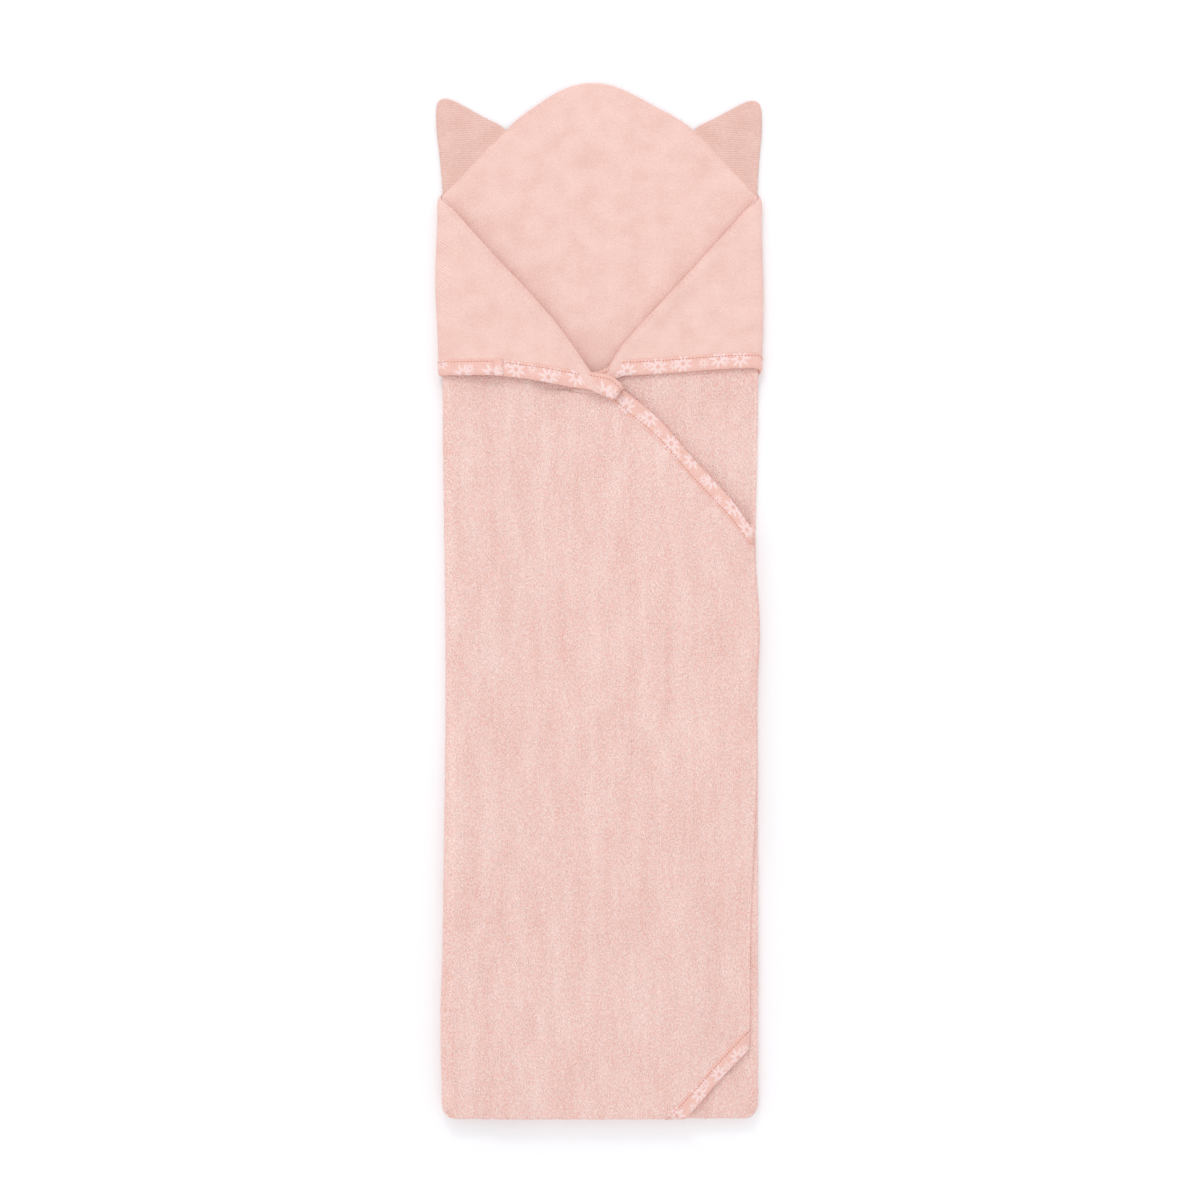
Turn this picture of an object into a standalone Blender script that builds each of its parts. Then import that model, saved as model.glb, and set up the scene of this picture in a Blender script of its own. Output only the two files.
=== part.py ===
"""Hooded baby towel with two ears, lying flat and folded into a long strip.

The towel is a square worn cornerwise: its hood corner points to +Y. The bottom corner is folded up, and
then the right and the left side are folded over it, with the point of each side tucked under. The layers
are modelled one on another, joined along the folds by half-round bends. +Z is up, and z = 0 is the table.
"""

import math

import bmesh
import bpy
from mathutils import Vector

# Sizes of the towel as it is cut and sewn, in metres.
HALF_DIAGONAL = 0.541  # from the towel's middle line to a side corner, before the corner is rounded
SIDE_CORNER_DROP = 0.5135  # from the hood's rounded top down to the level of the side corners
CORNER_RADIUS = 0.060  # rounding of the side corners and of the bottom corner
HOOD_DEPTH = 0.2155  # from the hood's rounded top down to its bound mouth
HOOD_TOP_RADIUS = 0.088
HOOD_SLOPE = 1.09  # rise over run of the hood's two sewn edges, a little pulled on the bias
CLOTH = 0.0024  # thickness of the terry
BINDING_WIDTH = 0.0115  # visible width of the folded tape
EAR_BASE = 0.067
EAR_HEIGHT = 0.052  # to the sharp tip, which is then rounded
EAR_TIP_ALONG = 0.014  # how far along the base the tip stands
EAR_TIP_RADIUS = 0.009
EAR_CLOTH = 0.0018
EAR_START_X = 0.070  # where an ear's base starts, from the middle of the hood

# Sizes of the folded strip.
FOLDED_WIDTH = 0.232  # across the two side folds, without the hood's cloth round them
FOLDED_LENGTH = 0.761
TUCK_SET_BACK = 0.0015  # the left flap's tucked edge stops this far short of the right fold
TUCK_MOST_SET_BACK = 0.015  # no flat part of a tuck starts further in than this

# Clearances.
GAP = 0.0003  # between pieces that touch
FOLD_STRAIGHT = 0.0005  # flat run where a bend meets its panel
STEP_RUN = 0.030  # length over which a layer climbs on or off what lies under it
STEP_MARGIN = 0.005  # a layer is still level this far past what it lies on

ARC_STEPS = 12
BEND_STEPS = 8

PITCH = CLOTH + GAP
HALF_WIDTH = FOLDED_WIDTH / 2
TOP_Y = FOLDED_LENGTH / 2
BOTTOM_Y = -FOLDED_LENGTH / 2
HEM_Y = TOP_Y - HOOD_DEPTH
SIDE_CORNER_Y = TOP_Y - SIDE_CORNER_DROP

# Edges of the towel, as they lie on the strip.
HALF_ANGLE = math.atan(1 / HOOD_SLOPE)
APEX_Y = TOP_Y + HOOD_TOP_RADIUS * (1 / math.sin(HALF_ANGLE) - 1)
FOLD_CORNER_Y = APEX_Y - HOOD_SLOPE * HALF_WIDTH
HOOD_HALF_MOUTH = (APEX_Y - HEM_Y) / HOOD_SLOPE
CROSSING_Y = APEX_Y - HOOD_SLOPE * FOLDED_WIDTH
BODY_SLOPE = (HEM_Y - SIDE_CORNER_Y) / (HALF_DIAGONAL - HOOD_HALF_MOUTH)
TURNED_APEX_Y = 2 * BOTTOM_Y - SIDE_CORNER_Y + HALF_DIAGONAL


def upper_edge_y(x):
    """Height of a flap's bound upper edge, with the flap's fold on the left."""
    return HEM_Y - BODY_SLOPE * (x - (HOOD_HALF_MOUTH - FOLDED_WIDTH))


TUCK_TOP_Y = upper_edge_y(HALF_WIDTH - TUCK_MOST_SET_BACK)
HOOD_CLEAR_Y = max(CROSSING_Y, HEM_Y)  # above this the two flaps lie side by side

# The layers from the table up, each with the stretch of the strip that it fills.
STACK = {
    "hood_under": (HEM_Y, math.inf),
    "centre": (-math.inf, math.inf),
    "corner": (-math.inf, TURNED_APEX_Y),
    "right_under": (-math.inf, TUCK_TOP_Y),
    "right_flap": (-math.inf, math.inf),
    "hood_right": (HEM_Y, math.inf),
    "left_under": (-math.inf, TUCK_TOP_Y),
    "left_flap": (-math.inf, math.inf),
    "hood_left": (HEM_Y, math.inf),
}


def presence(start, end, y):
    """1 where a layer lies, falling to 0 over the run on which the cloth above it comes down."""
    past = max(start - STEP_MARGIN - y, y - end - STEP_MARGIN, 0)
    return max(0, 1 - past / STEP_RUN)


def height(layer, y):
    """Underside of a layer at y: one pitch for each layer that lies below it there."""
    pitches = 0
    for below, (start, end) in STACK.items():
        if below == layer:
            return pitches * PITCH
        beside = "left" in layer and "right" in below
        pitches += presence(start, min(end, HOOD_CLEAR_Y) if beside else end, y)


def creases():
    """The heights on the strip where some layer's slope changes."""
    starts = {start for start, _ in STACK.values()}
    ends = {end for _, end in STACK.values()} | {HOOD_CLEAR_Y}
    found = [y - STEP_MARGIN - run for y in starts for run in (0, STEP_RUN)]
    found += [y + STEP_MARGIN + run for y in ends for run in (0, STEP_RUN)]
    return sorted(y for y in found if math.isfinite(y))


CREASES = creases()

# The widest bend joins the centre to the left flap, a tight one joins two neighbouring layers.
WIDEST_BEND = max(height("left_flap", y) - height("centre", y) for y in [BOTTOM_Y, *CREASES])
FOLD_DEPTH = CLOTH / 2 + WIDEST_BEND / 2 + FOLD_STRAIGHT
TIGHT_DEPTH = CLOTH / 2 + PITCH / 2 + FOLD_STRAIGHT
PANEL_X = HALF_WIDTH - FOLD_DEPTH - GAP  # where the flat panels stop, beside the side folds
PANEL_BOTTOM_Y = BOTTOM_Y + TIGHT_DEPTH + GAP


# Lines and corners of the outlines. A line is a point and a direction.
def line_at(x, y, slope):
    return Vector((x, y)), Vector((1, slope)).normalized()


def level_line(y):
    return Vector((0, y)), Vector((1, 0))


def upright_line(x):
    return Vector((x, 0)), Vector((0, 1))


def shifted(line, distance):
    """The parallel line this far to the left of the line's direction."""
    point, along = line
    return point + distance * Vector((-along.y, along.x)), along


def meet(first, second):
    """The point where two lines cross."""
    (p, u), (q, v) = first, second
    across = u.x * v.y - u.y * v.x
    between = q - p
    return p + u * ((between.x * v.y - between.y * v.x) / across)


def rounded(before, corner, after, radius):
    """Points of the arc that rounds a corner between two neighbouring points."""
    back = (before - corner).normalized()
    on = (after - corner).normalized()
    half = back.angle(on) / 2
    centre = corner + (back + on).normalized() * (radius / math.sin(half))
    start = corner + back * (radius / math.tan(half)) - centre
    turn = math.pi - 2 * half
    if start.y * back.x - start.x * back.y < 0:
        turn = -turn
    points = []
    for i in range(ARC_STEPS + 1):
        angle = turn * i / ARC_STEPS
        c, s = math.cos(angle), math.sin(angle)
        points.append(centre + Vector((c * start.x - s * start.y, s * start.x + c * start.y)))
    return points


def mirrored(points, side):
    """Points drawn for the left side of the strip, for side -1, or turned over to the right for side 1."""
    return [Vector((-side * p.x, p.y)) for p in points]


# Making the solids.
def make_material(name, colour, roughness):
    material = bpy.data.materials.new(name)
    material.use_nodes = True
    shader = material.node_tree.nodes["Principled BSDF"]
    shader.inputs["Base Color"].default_value = (*colour, 1)
    shader.inputs["Roughness"].default_value = roughness
    shader.inputs["Metallic"].default_value = 0
    material.diffuse_color = (*colour, 1)
    return material


def finish_object(name, bm, material, thickness, offset, pivot):
    """Gives the open surface its thickness, and hangs it on the empty of its joint where it has one."""
    mesh = bpy.data.meshes.new(name)
    bm.to_mesh(mesh)
    bm.free()
    mesh.materials.append(material)
    made = bpy.data.objects.new(name, mesh)
    towel.objects.link(made)
    wall = made.modifiers.new("cloth", "SOLIDIFY")
    wall.thickness = thickness
    wall.offset = offset
    wall.use_even_offset = True
    if pivot:
        made.parent = pivot
        made.location = -pivot.location
    return made


def face_up(bm):
    bm.normal_update()
    for face in bm.faces:
        if face.normal.z < 0:
            face.normal_flip()


def follow_layer(bm, layer):
    """Creases the flat surface where its layer changes slope, and lifts it to the layer's height."""
    for y in CREASES:
        every = bm.verts[:] + bm.edges[:] + bm.faces[:]
        bmesh.ops.bisect_plane(bm, geom=every, plane_co=(0, y, 0), plane_no=(0, 1, 0), dist=1e-6)
    for vert in bm.verts:
        vert.co.z = height(layer, vert.co.y)


def panel(name, outline, layer, material, pivot=None):
    """A flat piece of cloth with this outline, lying in this layer."""
    bm = bmesh.new()
    bm.faces.new([bm.verts.new((p.x, p.y, 0)) for p in outline])
    follow_layer(bm, layer)
    face_up(bm)
    return finish_object(name, bm, material, CLOTH, 1, pivot)


def strip(name, outer, inner, layer, material, pivot=None):
    """A length of binding between its outer and its inner edge, which have as many points."""
    bm = bmesh.new()
    pairs = [(bm.verts.new((a.x, a.y, 0)), bm.verts.new((b.x, b.y, 0))) for a, b in zip(outer, inner)]
    for (a, b), (c, d) in zip(pairs, pairs[1:]):
        bm.faces.new((a, b, d, c))
    follow_layer(bm, layer)
    face_up(bm)
    return finish_object(name, bm, material, CLOTH, 1, pivot)


def bend(name, sections, material, pivot=None):
    """A fold: a row of sections, each a list of points round the bend, joined by faces."""
    bm = bmesh.new()
    rows = [[bm.verts.new(p) for p in section] for section in sections]
    for row, following in zip(rows, rows[1:]):
        for i in range(len(row) - 1):
            bm.faces.new((row[i], row[i + 1], following[i + 1], following[i]))
    return finish_object(name, bm, material, CLOTH, 0, pivot)


def bend_section(outer, inner, low, high):
    """Middle of the cloth round a bend: distances from the strip's middle, and heights."""
    radius = (high - low) / 2
    centre = outer - CLOTH / 2 - radius
    points = [(inner, low)]
    for i in range(BEND_STEPS + 1):
        angle = math.pi * i / BEND_STEPS
        points.append((centre + radius * math.sin(angle), low + radius - radius * math.cos(angle)))
    points.append((inner, high))
    return points


def side_bend(name, side, outer, inner, y_range, layers, material, pivot=None):
    """A fold along the strip. side is -1 on the left and 1 on the right."""
    start, end = y_range
    stops = [start, *(y for y in CREASES if start < y < end), end]
    sections = []
    for y in stops:
        low, high = (height(layer, y) + CLOTH / 2 for layer in layers)
        sections.append([(side * x, y, z) for x, z in bend_section(outer, inner, low, high)])
    return bend(name, sections, material, pivot)


def bottom_bend(name, x_range, layers, material, pivot=None):
    """A fold across the bottom end of the strip, between two neighbouring layers."""
    low, high = (height(layer, BOTTOM_Y) + CLOTH / 2 for layer in layers)
    section = bend_section(-BOTTOM_Y, -BOTTOM_Y - TIGHT_DEPTH, low, high)
    return bend(name, [[(x, -y, z) for y, z in section] for x in x_range], material, pivot)


def make_pivot(name, location):
    """An empty on a joint's axis, which the pieces that turn about it hang on."""
    pivot = bpy.data.objects.new(name, None)
    pivot.location = location
    pivot.empty_display_size = 0.02
    towel.objects.link(pivot)
    return pivot


def make_centre():
    """The panel that lies on the table, with its turned-up bottom corner."""
    left_edge = line_at(0, APEX_Y, HOOD_SLOPE)
    apex = Vector((0, APEX_Y))
    left = meet(left_edge, upright_line(-PANEL_X))
    right = Vector((-left.x, left.y))
    top = rounded(right, apex, left, HOOD_TOP_RADIUS)
    foot = [Vector((-PANEL_X, PANEL_BOTTOM_Y)), Vector((PANEL_X, PANEL_BOTTOM_Y))]
    panel("towel_centre", [*foot, right, *top, left], "centre", terry)

    hem = HEM_Y + BINDING_WIDTH + GAP
    panel_foot = [Vector((-PANEL_X, hem)), Vector((PANEL_X, hem))]
    panel("hood_underside", [*panel_foot, right, *top, left], "hood_under", knit)
    ends = (-PANEL_X, PANEL_X)
    strip(
        "hood_underside_hem",
        [Vector((x, HEM_Y)) for x in ends],
        [Vector((x, HEM_Y + BINDING_WIDTH)) for x in ends],
        "hood_under",
        binding,
    )

    edge = line_at(0, TURNED_APEX_Y, 1)
    outline = turned_corner_path(edge, CORNER_RADIUS)
    tape = turned_corner_path(shifted(edge, -BINDING_WIDTH), CORNER_RADIUS - BINDING_WIDTH)
    inset = BINDING_WIDTH + GAP
    cloth = turned_corner_path(shifted(edge, -inset), CORNER_RADIUS - inset)
    panel("bottom_corner", [*foot, *reversed(cloth)], "corner", terry)
    strip("bottom_corner_binding", outline, tape, "corner", binding)
    bottom_bend("bottom_edge_fold", (-PANEL_X, PANEL_X), ("centre", "corner"), terry)


def turned_corner_path(left_edge, radius):
    """The turned-up bottom corner's edge, from its left end over its rounded point to its right end."""
    left = meet(left_edge, upright_line(-PANEL_X))
    tip = meet(left_edge, upright_line(0))
    right = Vector((-left.x, left.y))
    return [left, *rounded(left, tip, right, radius), right]


def make_flap(side, tuck_x, pivot):
    """One side of the towel, folded over the middle, with its point tucked back under it.

    It is drawn with its fold on the left, as on the left flap, and turned over for the right one.
    """
    word = "left" if side < 0 else "right"
    layer, under, hood = f"{word}_flap", f"{word}_under", f"hood_{word}"
    seam = line_at(-HALF_WIDTH, FOLD_CORNER_Y, -HOOD_SLOPE)
    upper = line_at(0, upper_edge_y(0), -BODY_SLOPE)
    lower = line_at(0, SIDE_CORNER_Y - HALF_DIAGONAL + FOLDED_WIDTH, 1)
    fold, foot, hem = upright_line(-PANEL_X), level_line(PANEL_BOTTOM_Y), level_line(HEM_Y)
    tuck_edge = tuck_x - TIGHT_DEPTH
    stop = upright_line(tuck_edge - GAP)

    # The flap and the two lengths of binding on its free edges.
    inset = BINDING_WIDTH + GAP
    cloth_upper, cloth_lower = shifted(upper, -inset), shifted(lower, inset)
    tape_upper, tape_lower = shifted(upper, -BINDING_WIDTH), shifted(lower, BINDING_WIDTH)
    mouth_corner = meet(seam, hem)
    across = mouth_corner, Vector((-upper[1].y, upper[1].x))
    outline = [
        meet(foot, fold),
        meet(foot, cloth_lower),
        meet(cloth_lower, stop),
        meet(cloth_upper, stop),
        meet(cloth_upper, across),
        mouth_corner,
        meet(seam, fold),
    ]
    panel(f"{word}_flap", mirrored(outline, side), layer, terry, pivot)
    start = shifted(across, -GAP)
    tape = [meet(start, upper), meet(upper, stop)], [meet(start, tape_upper), meet(tape_upper, stop)]
    strip(f"{word}_flap_upper_binding", *(mirrored(t, side) for t in tape), layer, binding, pivot)
    tape = [meet(foot, lower), meet(lower, stop)], [meet(foot, tape_lower), meet(tape_lower, stop)]
    strip(f"{word}_flap_lower_binding", *(mirrored(t, side) for t in tape), layer, binding, pivot)

    # The hood's cloth on this flap, with its bound mouth. It wraps the towel's fold from outside.
    hood_foot = level_line(HEM_Y + inset)
    outline = [meet(hood_foot, fold), meet(hood_foot, seam), meet(seam, fold)]
    panel(f"hood_{word}", mirrored(outline, side), hood, knit, pivot)
    tape_top = level_line(HEM_Y + BINDING_WIDTH)
    tape = [meet(hem, fold), meet(hem, seam)], [meet(tape_top, fold), meet(tape_top, seam)]
    strip(f"hood_{word}_hem", *(mirrored(t, side) for t in tape), hood, binding, pivot)
    inner = HALF_WIDTH - FOLD_DEPTH
    hood_reach, side_reach = (HEM_Y, FOLD_CORNER_Y), (PANEL_BOTTOM_Y, FOLD_CORNER_Y)
    side_bend(f"hood_{word}_fold", side, HALF_WIDTH + PITCH, inner, hood_reach, ("hood_under", hood), knit)
    side_bend(f"{word}_side_fold", side, HALF_WIDTH, inner, side_reach, ("centre", layer), terry)

    # The bottom corner's cloth that went over with the flap lies under it.
    turned = line_at(0, TURNED_APEX_Y - FOLDED_WIDTH, -1)
    cloth_turned, tape_turned = shifted(turned, -inset), shifted(turned, -BINDING_WIDTH)
    outline = [meet(foot, fold), meet(foot, cloth_turned), meet(cloth_turned, fold)]
    panel(f"{word}_turned_corner", mirrored(outline, side), under, terry, pivot)
    tape = [meet(foot, turned), meet(turned, fold)], [meet(foot, tape_turned), meet(tape_turned, fold)]
    strip(f"{word}_turned_binding", *(mirrored(t, side) for t in tape), under, binding, pivot)
    ends = sorted((side * PANEL_X, -side * meet(foot, cloth_turned).x))
    bottom_bend(f"{word}_bottom_fold", ends, (under, layer), terry, pivot)
    turned_top = meet(turned, fold).y
    inner_reach = (PANEL_BOTTOM_Y, turned_top)
    side_bend(f"{word}_inner_fold", side, HALF_WIDTH - PITCH, inner, inner_reach, ("corner", under), terry)

    # The point of the side, tucked back under the flap.
    def tucked(line):
        point, along = line
        return Vector((2 * tuck_x - point.x, point.y)), Vector((-along.x, along.y))

    def tuck_path(inset_by):
        high, low = tucked(shifted(upper, -inset_by)), tucked(shifted(lower, inset_by))
        first, last = meet(high, stop), meet(low, stop)
        return [first, *rounded(first, meet(high, low), last, CORNER_RADIUS - inset_by), last]

    panel(f"{word}_tuck", mirrored(tuck_path(inset), side), under, terry, pivot)
    tape = tuck_path(0), tuck_path(BINDING_WIDTH)
    strip(f"{word}_tuck_binding", *(mirrored(t, side) for t in tape), under, binding, pivot)
    reach = (meet(cloth_lower, stop).y, meet(cloth_upper, stop).y)
    side_bend(f"{word}_tuck_fold", -side, tuck_x, tuck_edge, reach, (under, layer), terry, pivot)


def make_ear(side):
    """An ear of two layers, sewn into the seam between the towel and the hood."""
    word = "left" if side < 0 else "right"
    along = Vector((-1, -HOOD_SLOPE)).normalized()
    outward = Vector((along.y, -along.x))
    start = Vector((-EAR_START_X, APEX_Y - HOOD_SLOPE * EAR_START_X))
    base = start + outward * GAP
    tip = base + along * EAR_TIP_ALONG + outward * EAR_HEIGHT
    end = base + along * EAR_BASE
    outline = mirrored([base, *rounded(base, tip, end, EAR_TIP_RADIUS), end], side)
    hinge = mirrored([start], side)[0]
    pivot = make_pivot(f"{word}_ear_pivot", (hinge.x, hinge.y, PITCH + CLOTH))
    middle = PITCH - GAP / 2
    for layer, bottom in (("back", middle - GAP / 2 - EAR_CLOTH), ("front", middle + GAP / 2)):
        bm = bmesh.new()
        bm.faces.new([bm.verts.new((p.x, p.y, bottom)) for p in outline])
        face_up(bm)
        finish_object(f"{word}_ear_{layer}", bm, ear_cloth, EAR_CLOTH, 1, pivot)


for old in list(bpy.data.objects):
    bpy.data.objects.remove(old)
towel = bpy.data.collections.new("hooded_baby_towel")
bpy.context.scene.collection.children.link(towel)

terry = make_material("terry", (0.89, 0.55, 0.47), 0.95)
knit = make_material("smooth_knit", (0.92, 0.63, 0.55), 0.9)
ear_cloth = make_material("ear_cloth", (0.86, 0.54, 0.48), 0.9)
binding = make_material("daisy_binding", (0.88, 0.47, 0.38), 0.85)

make_centre()
# The left flap's bend opens flat, so its hinge lies half its unrolled length outside the centre panel.
flap_axis = Vector((-HALF_WIDTH + FOLD_DEPTH - math.pi * WIDEST_BEND / 4, 0, (WIDEST_BEND + PITCH) / 2))
flap_pivot = make_pivot("left_flap_pivot", flap_axis)
make_flap(1, PANEL_X, None)
make_flap(-1, HALF_WIDTH - TUCK_SET_BACK, flap_pivot)
make_ear(-1)
make_ear(1)
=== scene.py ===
import math

import bmesh
import bpy
import numpy as np
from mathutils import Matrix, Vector


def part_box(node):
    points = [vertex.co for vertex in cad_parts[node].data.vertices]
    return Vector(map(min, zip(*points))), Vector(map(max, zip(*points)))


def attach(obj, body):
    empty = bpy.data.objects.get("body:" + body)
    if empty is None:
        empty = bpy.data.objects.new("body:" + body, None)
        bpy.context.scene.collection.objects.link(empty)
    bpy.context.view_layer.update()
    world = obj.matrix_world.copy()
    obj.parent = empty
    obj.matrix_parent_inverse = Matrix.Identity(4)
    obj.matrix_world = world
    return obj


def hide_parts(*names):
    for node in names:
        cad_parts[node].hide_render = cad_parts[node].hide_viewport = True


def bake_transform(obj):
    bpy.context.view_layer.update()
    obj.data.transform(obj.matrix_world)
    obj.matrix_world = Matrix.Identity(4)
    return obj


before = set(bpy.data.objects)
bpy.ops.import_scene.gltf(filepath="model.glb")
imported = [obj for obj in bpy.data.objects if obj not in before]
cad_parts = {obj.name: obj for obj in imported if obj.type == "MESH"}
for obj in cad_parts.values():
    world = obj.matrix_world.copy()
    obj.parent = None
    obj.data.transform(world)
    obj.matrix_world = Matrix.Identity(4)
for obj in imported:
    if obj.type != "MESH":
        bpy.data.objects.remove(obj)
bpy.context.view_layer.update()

# The room: a white table under a bright white ceiling, with one broad lamp past the hood end, so that
# every edge of cloth drops a soft shadow toward the bottom of the towel. The camera hangs straight above.
CAMERA_HEIGHT = 2.456
camera_data = bpy.data.cameras.new("camera")
camera_data.lens = 100
camera_data.sensor_width = 36
camera = bpy.data.objects.new("camera", camera_data)
camera.location = (0, 0, CAMERA_HEIGHT)
bpy.context.scene.collection.objects.link(camera)
bpy.context.scene.camera = camera
bpy.context.scene.view_settings.view_transform = "Standard"


def linear(code):
    """A colour written in sRGB hex, as Blender's linear values."""
    parts = [int(code[i : i + 2], 16) / 255 for i in (1, 3, 5)]
    return tuple(p / 12.92 if p <= 0.04045 else ((p + 0.055) / 1.055) ** 2.4 for p in parts) + (1,)


def add(tree, kind, links=None, **settings):
    """Add a node, set its properties, and fill its inputs with values or with other nodes' sockets."""
    made = tree.nodes.new(kind)
    for name, value in settings.items():
        setattr(made, name, value)
    for key, value in (links or {}).items():
        if isinstance(value, bpy.types.NodeSocket):
            tree.links.new(value, made.inputs[key])
        else:
            made.inputs[key].default_value = value
    return made


def aimed_lamp(name, place, target, size, power):
    """A round soft lamp, pointed at a place on the table."""
    data = bpy.data.lights.new(name, "AREA")
    data.shape = "DISK"
    data.size = size
    data.energy = power
    lamp = bpy.data.objects.new(name, data)
    lamp.location = place
    lamp.rotation_euler = (Vector(target) - Vector(place)).to_track_quat("-Z", "Y").to_euler()
    bpy.context.scene.collection.objects.link(lamp)


aimed_lamp("window_lamp", (-0.30, 1.60, 1.65), (0, 0, 0), 0.6, 7)
world = bpy.data.worlds.new("white_room")
bpy.context.scene.world = world
world.use_nodes = True
world.node_tree.nodes["Background"].inputs["Color"].default_value = linear("#FCFDFF")
world.node_tree.nodes["Background"].inputs["Strength"].default_value = 1.03

# The table: a painted white board, matt, so it shows only the soft shadow at the towel's foot.
# It is no part of the towel and only carries it.
table_paint = bpy.data.materials.new("matt_white_board")
table_paint.use_nodes = True
table_paint.node_tree.nodes["Principled BSDF"].inputs["Base Color"].default_value = linear("#FAFAFB")
table_paint.node_tree.nodes["Principled BSDF"].inputs["Roughness"].default_value = 0.9
table_mesh = bpy.data.meshes.new("table")
table_mesh.from_pydata([(-3, -3, 0), (3, -3, 0), (3, 3, 0), (-3, 3, 0)], [], [(0, 1, 2, 3)])
table_mesh.materials.append(table_paint)
table = bpy.data.objects.new("table", table_mesh)
bpy.context.scene.collection.objects.link(table)

# The towel: one square of cotton cloth worn cornerwise, knitted smooth on one side and looped terry on the
# other. It is cut flat here, then folded like the real one: bottom corner up, right side over, then the left.
# Flat places u, v run with the folded towel's x, y, and the hood's panel and the tapes are folded with it.
HALF_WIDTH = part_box("right_side_fold")[1].x
FOLDED_WIDTH = 2 * HALF_WIDTH
TOP_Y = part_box("towel_centre")[1].y
BOTTOM_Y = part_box("bottom_edge_fold")[0].y
HEM_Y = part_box("hood_left_hem")[0].y
TUCK_X = {-1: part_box("left_tuck_fold")[1].x, 1: -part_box("right_tuck_fold")[0].x}
HALF_DIAGONAL = 0.541
SIDE_CORNER_Y = TOP_Y - 0.5135
CORNER_RADIUS = 0.060
HOOD_TOP_RADIUS = 0.088
HOOD_SLOPE = 1.09
PITCH = 0.0027  # from one layer of cloth to the next
LOWEST = 0.0015  # middle of the layer that lies on the table
HALF_CLOTH = 0.00105
PRESSED_HALF = 0.00080  # the cloth is pressed thinner inside the tape and in the seams
PANEL = 0.1075  # the cloth starts to bend round the side folds here
TIGHT_RUN = 0.0034  # length of cloth on each side of a tight fold line
TIGHT_REACH = 0.0021
CLIMB = 0.020  # a layer comes down over this length past the edge of what it lies on
SLACK_CLIMB = 0.070  # the uppermost flap, held by nothing, bridges the steps under it
FOOT_CORNER = 0.010  # rounding of the folded strip's two bottom corners

# Soft creases in the left flap: where each starts and ends, how wide it is and how high it stands.
CREASES = [
    ((-0.012, 0.150), (0.006, 0.112), 0.006, 0.0015),
    ((-0.020, 0.148), (-0.050, 0.100), 0.009, 0.0011),
    ((0.004, 0.142), (0.052, 0.070), 0.007, 0.0010),
    ((-0.075, 0.150), (-0.088, 0.085), 0.010, 0.0009),
    ((-0.040, 0.060), (-0.052, -0.080), 0.012, 0.0007),
    ((0.030, 0.020), (0.046, -0.150), 0.014, 0.0007),
]

HALF_ANGLE = math.atan(1 / HOOD_SLOPE)
APEX_Y = TOP_Y + HOOD_TOP_RADIUS * (1 / math.sin(HALF_ANGLE) - 1)
HALF_MOUTH = (APEX_Y - HEM_Y) / HOOD_SLOPE
BODY_SLOPE = (HEM_Y - SIDE_CORNER_Y) / (HALF_DIAGONAL - HALF_MOUTH)
BOTTOM_CORNER_Y = SIDE_CORNER_Y - HALF_DIAGONAL
TURNED_APEX_Y = 2 * BOTTOM_Y - BOTTOM_CORNER_Y


def ease(t):
    """From 0 at t = 0 to 1 at t = 1, starting and ending gently."""
    t = np.clip(t, 0, 1)
    return t * t * (3 - 2 * t)


def hump(t):
    """A smooth hill, 1 at t = 0 and nearly 0 past 1 and -1."""
    return np.exp(-3 * t * t)


def unevenness(x, y, size_x, size_y, seed):
    """Smooth random values from 0 to 1, changing over size_x and size_y."""
    values = np.random.default_rng(seed).random((97, 97))
    p, q = x / size_x + 48, y / size_y + 48
    i, j = np.clip(np.floor(p).astype(int), 0, 95), np.clip(np.floor(q).astype(int), 0, 95)
    s, t = ease(p - i), ease(q - j)
    low = values[i, j] * (1 - s) + values[i + 1, j] * s
    high = values[i, j + 1] * (1 - s) + values[i + 1, j + 1] * s
    return low * (1 - t) + high * t


def on(distance, climb=CLIMB):
    """1 over a layer's own ground, easing to 0 as the distance past its edge grows."""
    return 1 - ease(distance / climb)


def flap_edge(across, y, tuck):
    """Distance past a flap's edges, with its fold at negative across."""
    seam = APEX_Y - HOOD_SLOPE * FOLDED_WIDTH - HOOD_SLOPE * across
    bound = HEM_Y - BODY_SLOPE * (across - HALF_MOUTH + FOLDED_WIDTH)
    lower = BOTTOM_CORNER_Y + FOLDED_WIDTH + across
    above = np.minimum((y - seam) * 0.68, (y - bound) * 0.71)
    return np.maximum(np.maximum(above, (lower - y) * 0.71), across - tuck)


def under_edge(across, y, tuck):
    """Distance past the tucked point and the turned corner that lie under a flap."""
    mirrored = 2 * tuck - across
    bound = HEM_Y - BODY_SLOPE * (mirrored - HALF_MOUTH + FOLDED_WIDTH)
    lower = BOTTOM_CORNER_Y + FOLDED_WIDTH + mirrored
    tucked = np.maximum(np.maximum((y - bound) * 0.71, (lower - y) * 0.71), across - tuck)
    turned = (y - TURNED_APEX_Y + FOLDED_WIDTH + across) * 0.71
    return np.minimum(tucked, turned)


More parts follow.
